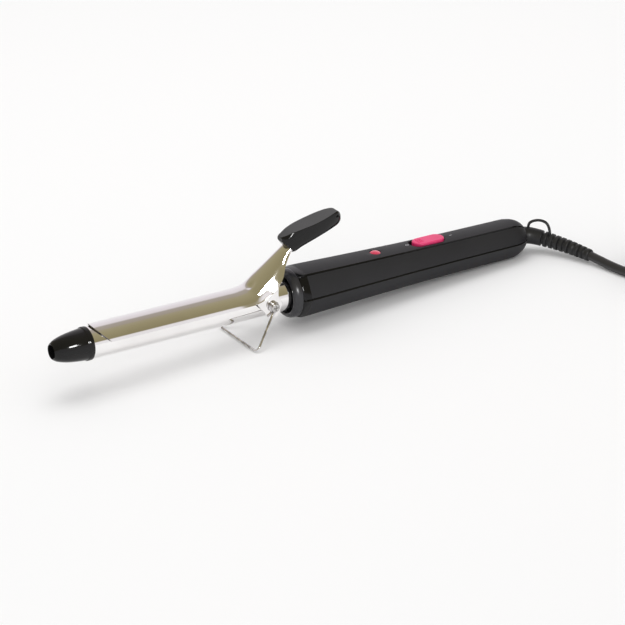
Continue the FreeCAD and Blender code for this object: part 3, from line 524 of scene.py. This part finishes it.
def spline_path(corners, resolution):
    """The points of the NURBS spline that has these control points, in millimetres."""
    line = nurbs("path", corners, 0.0)
    line.data.bevel_depth = 0.0
    line.data.resolution_u = resolution
    bpy.context.view_layer.update()
    view = bpy.context.evaluated_depsgraph_get()
    mesh = bpy.data.meshes.new_from_object(line.evaluated_get(view))
    path = [vertex.co / MM for vertex in mesh.vertices]
    bpy.data.objects.remove(line)
    return path


def tube_piece(name, node, path, radii, columns, sharp):
    """A round tube along a path in the standing frame; its rings of points follow it without twisting."""
    side = Vector((0, 0, 1))
    points = []
    for index, here in enumerate(path):
        ahead = path[min(index + 1, len(path) - 1)] - path[max(index - 1, 0)]
        ahead.normalize()
        side = (side - ahead * side.dot(ahead)).normalized()
        other = ahead.cross(side)
        for angle in circle_angles(columns):
            points.append(here + (side * math.cos(angle) + other * math.sin(angle)) * radii[index])
    faces = grid_faces(len(path), columns, wrap=True) + end_faces(points, columns)
    piece_of(name, "iron", [node], ["boot_black"], points, faces, STANDING, sharp=sharp)


def boot_radius(along, length):
    """The boot's radius at a distance along it: a smooth neck, then ribs, on a slow taper."""
    radius = BOOT_R[0] + (BOOT_R[1] - BOOT_R[0]) * along / length
    ribbed = along - NECK_LENGTH
    left = length - along
    if ribbed > 0 and left > LAST_RIB:
        wave = math.cos(2 * math.pi * ribbed / RIB_PITCH)
        radius -= RIB_DEPTH * min(max(0.5 - RIB_STEEPNESS * (wave + RIB_WIDTH), 0.0), 1.0)
    return radius - max(BOOT_EASE - left, 0.0)


def make_boot():
    """The ribbed boot, from inside the handle to the cord's exit, and the loop on it."""
    start = [(IRON @ Vector((x, 0, 0))) / MM for x in BOOT_START_X]
    path = spline_path(start + BOOT_ROUTE, BOOT_STEPS)
    spots = distances_along(path)
    radii = [boot_radius(along, spots[-1]) for along in spots]
    tube_piece("boot_ribbed", "strain_relief", path, radii, BOOT_COLUMNS, BOOT_SHARP)
    path = spline_path(LOOP_ROUTE, LOOP_STEPS)
    tube_piece("hang_loop_strand", "hang_loop", path, [LOOP_R] * len(path), LOOP_COLUMNS, SHARP)


# ------------------------------------------------------------------ handle

# directions of the corners from the top, and how far each facet bulges between its two
CORNERS = [math.radians(degrees) for degrees in (-90.5, -35.5, 35.5, 90.5, 146.0, 214.0, 269.5)]
BULGES = (0.5, 0.8, 0.5, 0.5, 0.8, 0.5)
# (x, radius): of the corners, of the limit that rounds both ends, and of the wall's inside
HANDLE_R = ((17.0, 16.2), (60.0, 14.6), (95.0, 13.45), (130.0, 12.7), (165.0, 12.4), (186.0, 12.3))
ENVELOPE = ((18.9, 14.4), (19.2, 14.85), (19.9, 15.2), (21.4, 15.6), (24.0, 16.0), (30.0, 16.8),
            (40.0, 18.5), (150.0, 18.5), (160.0, 14.2), (166.0, 13.5), (171.5, 12.6), (176.0, 11.35),
            (179.3, 9.8), (181.4, 8.3), (182.0, 7.5))
INNER_R = ((18.9, 11.6), (25.0, 11.6), (60.0, 10.6), (95.0, 9.7), (130.0, 9.1), (174.0, 8.6), (176.0, 6.0),
           (182.0, 6.0))
ENVELOPE_EASE = 0.2
# a groove follows each border; its half width and the steps across are shares of a facet's width
GROOVE_DEPTH = 0.7
GROOVE_HALF = 0.045
# quads each side of a border that are painted darker in black gloss: painted shade in the grooves
GROOVE_SHADE_QUADS = 2
FACET_STEPS = (0.0, 0.02, GROOVE_HALF, 0.06, 0.2, 0.35, 0.5, 0.65, 0.8, 0.94, 1.0 - GROOVE_HALF, 0.98)
UPPER_FACETS = (0, 1, 2)
LOWER_FACETS = (3, 4, 5)
HANDLE_X = ([18.9, 19.05, 19.3, 19.7, 20.3, 21.2, 22.4, 24.0, 26.5, 30.0, 35.0]
            + [40.0 + 5.0 * step for step in range(23)]
            + [154.0, 157.0, 160.0, 163.0, 166.0, 168.5, 171.0, 173.0, 175.0, 176.5, 178.0, 179.2, 180.3,
               181.1, 181.7, 182.0])
GLOSS_END = 23.5    # the front ring before this x is glossy
HANDLE_EASE = 0.3
HANDLE_SHARP = 28.0
CUTTER_COLUMNS = 48
SLOT_X = 113.3
SLOT_STRAIGHT = 13.2
SLOT_R = 5.45
LENS_X = 77.0
LENS_R = 3.4
SCREW_X = (60.0, 140.0)
SCREW_R = 2.65
TOP_CUT_Z = (4.0, 20.0)
BOTTOM_CUT_Z = (-20.0, -4.0)


def along_stations(stations, x):
    """The value at x, in straight steps between (x, value) stations."""
    for (x0, r0), (x1, r1) in zip(stations, stations[1:]):
        if x <= x1:
            return r0 + (r1 - r0) * (x - x0) / (x1 - x0)
    return stations[-1][1]


def handle_row(x, facets):
    """Outer outline of one shell's facets at x, with a groove along each border, limited to the envelope."""
    radius = along_stations(HANDLE_R, x)
    limit = along_stations(ENVELOPE, x)
    outline = []
    for facet in facets:
        ends = [Vector((-math.sin(a), math.cos(a))) * radius for a in CORNERS[facet:facet + 2]]
        outward = (ends[0] + ends[1]).normalized()
        for share in FACET_STEPS + ((1.0,) if facet == facets[-1] else ()):
            point = ends[0].lerp(ends[1], share) + outward * BULGES[facet] * 4 * share * (1 - share)
            reach = point.length
            reach -= ENVELOPE_EASE * math.log(1 + math.exp((reach - limit) / ENVELOPE_EASE))
            near = min(share, 1.0 - share)
            if near < GROOVE_HALF:
                reach -= GROOVE_DEPTH * (1 - near / GROOVE_HALF)
            outline.append(point.normalized() * reach)
    return outline


def shell_of(name, node, facets):
    """One half of the handle: its facets outside, a round wall inside, and painted shade in its grooves."""
    points = []
    for x in HANDLE_X:
        outline = handle_row(x, facets)
        inner = along_stations(INNER_R, x)
        wall = [p.normalized() * inner for p in reversed(outline)]
        points += [Vector((x, p.x, p.y)) for p in outline + wall]
    columns = len(points) // len(HANDLE_X)
    faces = grid_faces(len(HANDLE_X), columns, wrap=True)
    half = columns // 2
    steps = len(FACET_STEPS)
    finish_at = []
    for index in range(len(faces)):
        beside = index % columns
        border = min(beside % steps, steps - 1 - beside % steps)
        # faces along each groove take the darker black gloss: painted shade in the grooves
        groove_painted_shade = beside < half - 1 and border < GROOVE_SHADE_QUADS
        finish_at.append(1 if groove_painted_shade or HANDLE_X[index // columns] < GLOSS_END else 0)
    for start in (0, len(points) - columns):
        for step in range(half - 1):
            faces.append((start + step, start + step + 1,
                          start + columns - 2 - step, start + columns - 1 - step))
            finish_at.append(0)
    return piece_of(name, "iron", [node], ["black_satin", "black_gloss"], points, faces,
                    sharp=HANDLE_SHARP, finish_at=finish_at)


def upright_cutter(x, straight, radius, heights):
    """An upright prism with round ends that stretch apart along X."""
    outline = []
    for angle in circle_angles(CUTTER_COLUMNS, shift=0.5):
        shift = straight / 2 if math.cos(angle) > 0 else -straight / 2
        outline.append((x + shift + radius * math.cos(angle), radius * math.sin(angle)))
    points = [(px, py, z) for z in heights for px, py in outline]
    faces = end_faces(points, CUTTER_COLUMNS) + grid_faces(2, CUTTER_COLUMNS, wrap=True)
    return mesh_of("cutter", points, faces, IRON)


def cut_out(piece, cutters):
    """Takes the cutters' shapes out of the piece's mesh."""
    for cutter in cutters:
        opening = piece.modifiers.new("opening", "BOOLEAN")
        opening.operation = "DIFFERENCE"
        opening.solver = "EXACT"
        opening.object = cutter
    view = bpy.context.evaluated_depsgraph_get()
    finished = bpy.data.meshes.new_from_object(piece.evaluated_get(view))
    piece.modifiers.clear()
    piece.data = finished
    for cutter in cutters:
        bpy.data.objects.remove(cutter)


def make_handle():
    """Both shells: the upper with the switch's slot and the lens's hole, the lower with its screw holes."""
    upper = shell_of("handle_upper", "handle_upper_shell", UPPER_FACETS)
    cut_out(upper, [upright_cutter(SLOT_X, SLOT_STRAIGHT, SLOT_R, TOP_CUT_Z),
                    upright_cutter(LENS_X, 0.0, LENS_R, TOP_CUT_Z)])
    soften(upper, HANDLE_EASE)
    lower = shell_of("handle_lower", "handle_lower_shell", LOWER_FACETS)
    cut_out(lower, [upright_cutter(x, 0.0, SCREW_R, BOTTOM_CUT_Z) for x in SCREW_X])
    soften(lower, HANDLE_EASE)


# ------------------------------------------------------------------ marks beside the switch

MARK_COLUMNS = 32
MARK_EASE = 0.03
# x, outer radius, inner radius, width over length, bottom z, top z: a ring, then a bar
MARKS = ((99.5, 1.15, 0.8, 0.75, 11.3, 11.74), (130.5, 1.1, 0.04, 0.2, 10.8, 11.19))


def make_marks():
    """A plain ring in front of the switch and a plain bar behind it."""
    points, faces = [], []
    for x, outer, inner, stretch, low, high in MARKS:
        faces += grid_faces(4, MARK_COLUMNS, start=len(points), wrap=True, wrap_rows=True)
        for radius, z in ((outer, low), (outer - MARK_EASE, high), (inner + MARK_EASE, high), (inner, low)):
            points += [(x + radius * math.cos(angle), stretch * radius * math.sin(angle), z)
                       for angle in circle_angles(MARK_COLUMNS)]
    piece_of("switch_marks", "iron", [], ["aluminium"], points, faces)


# ------------------------------------------------------------------ studio, in metres

# name, place, size, watts, aim, and whether it shows only in reflections
LIGHTS = (("overhead", (0.1, 0.35, 1.5), (1.1, 0.9), 6.0, (0.0, 0.0, 0.0), False),
          ("fill", (-0.9, -1.2, 0.9), (0.8, 0.6), 2.2, (0.0, 0.0, 0.02), False),
          ("card", (-0.03, -1.09, 0.60), (0.20, 0.20), 7.5, (-0.15, 0.0, 0.03), True))
ROOM_STRENGTH = 0.84
ROOM_WHITE = (1.0, 0.995, 0.99, 1.0)
# colour of the reflected room by angle over the iron, in degrees: 0 is the camera's side, 90 overhead
BANDS = ((0.0, (0.86, 0.84, 0.86)), (13.0, (0.82, 0.79, 0.80)), (18.0, (0.27, 0.235, 0.13)),
         (60.0, (0.33, 0.29, 0.17)), (80.0, (0.36, 0.32, 0.21)), (88.0, (0.37, 0.325, 0.27)),
         (110.0, (0.40, 0.36, 0.32)), (119.0, (0.74, 0.69, 0.71)), (150.0, (0.84, 0.80, 0.84)),
         (179.0, (0.90, 0.89, 0.91)))
# the bands lean: from the second X direction to the first, the angle falls to this share of itself
BAND_LEAN = 0.55
LEAN_X = (-0.15, 0.30)
FLOOR_SIZE = 16.0
FLOOR_CUTS = 8


def add_light(name, place, size, watts, aim, only_gloss):
    """A soft rectangular light, seen either in reflections or by plain surfaces."""
    data = bpy.data.lights.new(name, "AREA")
    data.shape = "RECTANGLE"
    data.size, data.size_y = size
    data.energy = watts
    light = bpy.data.objects.new(name, data)
    light.location = place
    light.rotation_mode = "QUATERNION"
    light.rotation_quaternion = (Vector(aim) - Vector(place)).to_track_quat("-Z", "Y")
    light.visible_glossy = only_gloss
    light.visible_diffuse = not only_gloss
    bpy.context.scene.collection.objects.link(light)


def math_node(nodes, operation, value=None):
    """A math node, with its second value set if one is given."""
    node = nodes.new("ShaderNodeMath")
    node.operation = operation
    if value is not None:
        node.inputs[1].default_value = value
    return node


def node_range(nodes, links, source, start, end, low, high):
    """Maps a value's range from start to end on the range from low to high."""
    spread = nodes.new("ShaderNodeMapRange")
    spread.inputs["From Min"].default_value = start
    spread.inputs["From Max"].default_value = end
    spread.inputs["To Min"].default_value = low
    spread.inputs["To Max"].default_value = high
    links.new(source, spread.inputs["Value"])
    return spread.outputs["Result"]


def make_world():
    """White room with a brown-grey ceiling that only reflections see, as bands round the X axis."""
    world = bpy.data.worlds.new("studio")
    bpy.context.scene.world = world
    world.use_nodes = True
    nodes, links = world.node_tree.nodes, world.node_tree.links
    plain = nodes["Background"]
    plain.inputs["Color"].default_value = ROOM_WHITE
    plain.inputs["Strength"].default_value = ROOM_STRENGTH
    coord = nodes.new("ShaderNodeTexCoord")
    split = nodes.new("ShaderNodeSeparateXYZ")
    toward = math_node(nodes, "MULTIPLY", -1.0)
    angle = math_node(nodes, "ARCTAN2")
    share = math_node(nodes, "DIVIDE", math.pi)
    leaned = math_node(nodes, "MULTIPLY")
    ramp = nodes.new("ShaderNodeValToRGB")
    bands = nodes.new("ShaderNodeBackground")
    path = nodes.new("ShaderNodeLightPath")
    mix = nodes.new("ShaderNodeMixShader")
    stops = ramp.color_ramp.elements
    stops[0].position, stops[1].position = BANDS[0][0] / 180.0, BANDS[-1][0] / 180.0
    for degrees, _ in BANDS[1:-1]:
        stops.new(degrees / 180.0)
    for stop, (_, colour) in zip(stops, BANDS):
        stop.color = (*colour, 1.0)
    links.new(coord.outputs["Generated"], split.inputs[0])
    links.new(split.outputs["Y"], toward.inputs[0])
    links.new(split.outputs["Z"], angle.inputs[0])
    links.new(toward.outputs[0], angle.inputs[1])
    links.new(angle.outputs[0], share.inputs[0])
    links.new(share.outputs[0], leaned.inputs[0])
    links.new(node_range(nodes, links, split.outputs["X"], *LEAN_X, BAND_LEAN, 1.0), leaned.inputs[1])
    links.new(leaned.outputs[0], ramp.inputs["Fac"])
    links.new(ramp.outputs["Color"], bands.inputs["Color"])
    links.new(path.outputs["Is Glossy Ray"], mix.inputs["Fac"])
    links.new(plain.outputs[0], mix.inputs[1])
    links.new(bands.outputs[0], mix.inputs[2])
    links.new(mix.outputs[0], nodes["World Output"].inputs["Surface"])


# ------------------------------------------------------------------ materials

TONE_STOPS = (0.35, 0.65)
NOISE_RANGE = (0.3, 0.7)
NOISE_DETAIL = 3.0
METAL = {"Metallic": 1.0}


def node_noise(nodes, links, source, scale):
    """Noise of this scale over the given coordinates."""
    noise = nodes.new("ShaderNodeTexNoise")
    noise.inputs["Scale"].default_value = scale
    noise.inputs["Detail"].default_value = NOISE_DETAIL
    links.new(source, noise.inputs["Vector"])
    return noise.outputs["Fac"]


def finish_of(name, tones, rough, grain, relief, patch=40.0, stretch=(1, 1, 1), sockets=None):
    """Two tones that drift in patches, a range of roughness, and grain of a given scale and relief in mm."""
    material = bpy.data.materials.new(name)
    material.use_nodes = True
    nodes, links = material.node_tree.nodes, material.node_tree.links
    shader = nodes["Principled BSDF"]
    coord = nodes.new("ShaderNodeTexCoord")
    scaled = nodes.new("ShaderNodeMapping")
    scaled.inputs["Scale"].default_value = stretch
    links.new(coord.outputs["Object"], scaled.inputs["Vector"])
    place = scaled.outputs["Vector"]
    ramp = nodes.new("ShaderNodeValToRGB")
    for stop, position, tone in zip(ramp.color_ramp.elements, TONE_STOPS, tones):
        stop.position = position
        stop.color = (*tone, 1.0)
    links.new(node_noise(nodes, links, place, patch), ramp.inputs["Fac"])
    links.new(ramp.outputs["Color"], shader.inputs["Base Color"])
    fine = node_noise(nodes, links, place, grain)
    links.new(node_range(nodes, links, fine, *NOISE_RANGE, *rough), shader.inputs["Roughness"])
    bump = nodes.new("ShaderNodeBump")
    bump.inputs["Strength"].default_value = 1.0
    bump.inputs["Distance"].default_value = relief * MM
    links.new(fine, bump.inputs["Height"])
    links.new(bump.outputs["Normal"], shader.inputs["Normal"])
    for socket, value in (sockets or {}).items():
        shader.inputs[socket].default_value = value
    return material


def make_finishes():
    """Every material by its slot: two tones, roughness, grain scale, relief, and what else it needs."""
    rows = {
        "barrel_chrome": (((0.90, 0.885, 0.88), (0.94, 0.93, 0.925)), (0.035, 0.06), 220, 0.002,
                          {"sockets": METAL}),
        # the stand's wire: darker tone with dark patches, a painted reflection of its mottled glints
        "wire_chrome": (((0.42, 0.41, 0.42), (0.86, 0.85, 0.86)), (0.08, 0.18), 900, 0.006,
                        {"patch": 260, "sockets": METAL}),
        # the clamp's rim: dark steel tones that paint the shade along the sheet's edges
        "rim_painted_shade": (((0.05, 0.045, 0.04), (0.34, 0.32, 0.31)), (0.25, 0.45), 1600, 0.006,
                       {"patch": 380, "sockets": METAL}),
        "screw_steel": (((0.42, 0.41, 0.40), (0.62, 0.61, 0.60)), (0.16, 0.30), 2500, 0.006,
                        {"patch": 700, "sockets": METAL}),
        "spring_steel": (((0.30, 0.29, 0.28), (0.42, 0.41, 0.40)), (0.22, 0.36), 1200, 0.004,
                         {"stretch": (1, 6, 1), "sockets": METAL}),
        "black_gloss": (((0.0055, 0.0055, 0.006), (0.009, 0.0088, 0.009)), (0.06, 0.10), 300, 0.002,
                        {"sockets": {"Specular IOR Level": 0.28}}),
        "black_satin": (((0.0165, 0.0165, 0.019), (0.021, 0.021, 0.0235)), (0.42, 0.52), 5200, 0.010,
                        {"patch": 25, "sockets": {"Specular IOR Level": 0.25}}),
        "pad_grey": (((0.058, 0.058, 0.060), (0.068, 0.068, 0.070)), (0.45, 0.55), 4200, 0.006,
                     {"patch": 30, "sockets": {"Specular IOR Level": 0.3}}),
        "collar_grey": (((0.026, 0.026, 0.030), (0.033, 0.033, 0.037)), (0.25, 0.32), 3000, 0.004, {}),
        "pink": (((0.70, 0.022, 0.135), (0.80, 0.040, 0.18)), (0.30, 0.40), 1500, 0.003, {}),
        "lens_pink": (((0.62, 0.035, 0.09), (0.78, 0.07, 0.14)), (0.12, 0.18), 900, 0.002,
                      {"patch": 300, "sockets": {"Coat Weight": 0.6}}),
        "boot_black": (((0.014, 0.014, 0.015), (0.022, 0.022, 0.023)), (0.34, 0.48), 2600, 0.012,
                       {"sockets": {"Specular IOR Level": 0.35}}),
        "cord_black": (((0.020, 0.019, 0.020), (0.028, 0.027, 0.028)), (0.40, 0.52), 2200, 0.010, {}),
        "aluminium": (((0.62, 0.63, 0.64), (0.74, 0.75, 0.76)), (0.25, 0.40), 1400, 0.006,
                      {"stretch": (0.1, 1, 1), "sockets": METAL}),
        "ceramic": (((0.16, 0.16, 0.165), (0.22, 0.22, 0.22)), (0.6, 0.8), 1800, 0.02, {}),
        "film": (((0.50, 0.27, 0.04), (0.60, 0.34, 0.06)), (0.2, 0.3), 600, 0.004, {}),
        "brass": (((0.62, 0.44, 0.17), (0.78, 0.58, 0.26)), (0.16, 0.28), 1500, 0.004, {"sockets": METAL}),
        "inner_plastic": (((0.06, 0.06, 0.06), (0.09, 0.09, 0.09)), (0.5, 0.65), 2000, 0.01, {}),
        "lamp_glass": (((0.95, 0.72, 0.60), (1.0, 0.82, 0.72)), (0.03, 0.07), 500, 0.001,
                       {"sockets": {"Transmission Weight": 0.9}}),
        "lead_sleeve": (((0.60, 0.58, 0.53), (0.74, 0.72, 0.67)), (0.7, 0.9), 5000, 0.03, {}),
        "tie_black": (((0.015, 0.015, 0.015), (0.022, 0.022, 0.022)), (0.5, 0.7), 4000, 0.02, {}),
    }
    return {slot: finish_of(slot, *row, **more) for slot, (*row, more) in rows.items()}


def make_floor():
    """A plain white floor, which isn't part of the iron."""
    bpy.ops.mesh.primitive_grid_add(x_subdivisions=FLOOR_CUTS, y_subdivisions=FLOOR_CUTS, size=FLOOR_SIZE)
    ground = bpy.context.object
    ground.name = "floor"
    white = finish_of("floor_white", ((0.90, 0.90, 0.90), (0.905, 0.90, 0.90)), (0.9, 1.0), 60, 0.001,
                      patch=3, sockets={"Specular IOR Level": 0.0})
    ground.data.materials.append(white)


def dress(piece, slots, finishes):
    """Gives a piece its finishes, in the order its faces number them."""
    if piece.data.materials:
        piece.data.materials.clear()
    for slot in slots:
        piece.data.materials.append(finishes[slot])


# ------------------------------------------------------------------ the scene

make_camera()
make_turned_pieces()
make_clamp()
make_thumb_rest()
make_boot()
make_handle()
make_marks()
make_cord()
make_world()
bpy.context.scene.view_settings.view_transform = "Standard"
for light in LIGHTS:
    add_light(*light)
finishes = make_finishes()
make_floor()
slot_of = {row["node"]: row["material_slot"] for row in frame["record"]["subparts"]}
for node, piece in frame["nodes"].items():
    dress(piece, [slot_of[node]], finishes)
for piece, slots in SLOTS_OF.items():
    dress(piece, slots, finishes)
